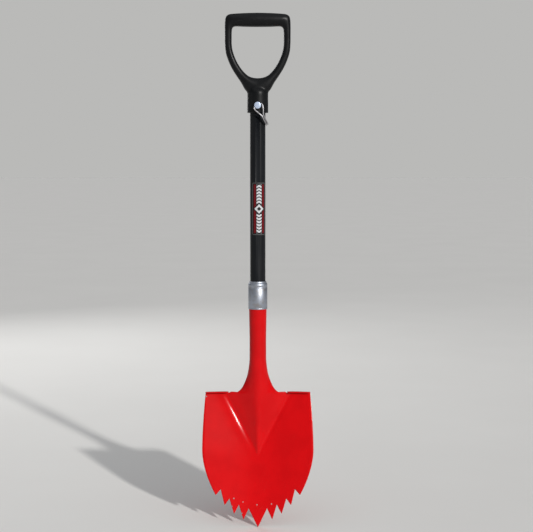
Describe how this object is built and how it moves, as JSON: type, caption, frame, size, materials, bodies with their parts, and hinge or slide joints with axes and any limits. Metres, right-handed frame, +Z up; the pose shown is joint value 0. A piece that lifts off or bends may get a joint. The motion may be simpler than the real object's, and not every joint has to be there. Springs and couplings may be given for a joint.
{
  "type": "camp shovel",
  "caption": "Short D-handled camp shovel: serrated round-point steel blade with foot treads, ferrule, fibreglass shaft and a D-grip held by a wire-lock pin.",
  "frame": {"origin": "centre of the grip's hand bar", "axes": "+Z up the shaft towards the grip, the blade's hollow front and the lock pin's head face -Y, +X to the right seen from the front"},
  "size_m": [0.2192, 0.082, 1.0043],
  "materials": {
    "blade_paint": "gloss red powder coat",
    "ferrule_steel": "polished steel collar",
    "shaft_fibreglass": "black fibreglass",
    "core_wood": "bare dowel",
    "label_vinyl": "printed film",
    "rivet_steel": "plain steel",
    "grip_plastic": "satin black moulding",
    "pin_zinc": "bright zinc plate",
    "wire_zinc": "bright zinc plated spring wire"
  },
  "bodies": {
    "shovel": {"blade": "blade_paint", "ferrule": "ferrule_steel", "shaft_tube": "shaft_fibreglass", "upper_core_plug": "core_wood", "lower_core_plug": "core_wood", "shaft_label": "label_vinyl", "socket_rivet_left": "rivet_steel", "socket_rivet_right": "rivet_steel", "d_grip": "grip_plastic"},
    "lock_pin": {"lock_pin": "pin_zinc"},
    "lock_wire": {"lock_wire": "wire_zinc"}
  },
  "joints": [
    {"name": "pin_swivel", "type": "hinge", "parent": "shovel", "child": "lock_pin", "pos_m": [0, 0, -0.1646], "axis": [0, -1, 0], "range_deg": [0, 90]},
    {"name": "wire_swing", "type": "hinge", "parent": "lock_pin", "child": "lock_wire", "pos_m": [0, -0.0254, -0.1646], "axis": [-0.8926, 0, -0.4509], "range_deg": [0, 180]}
  ]
}
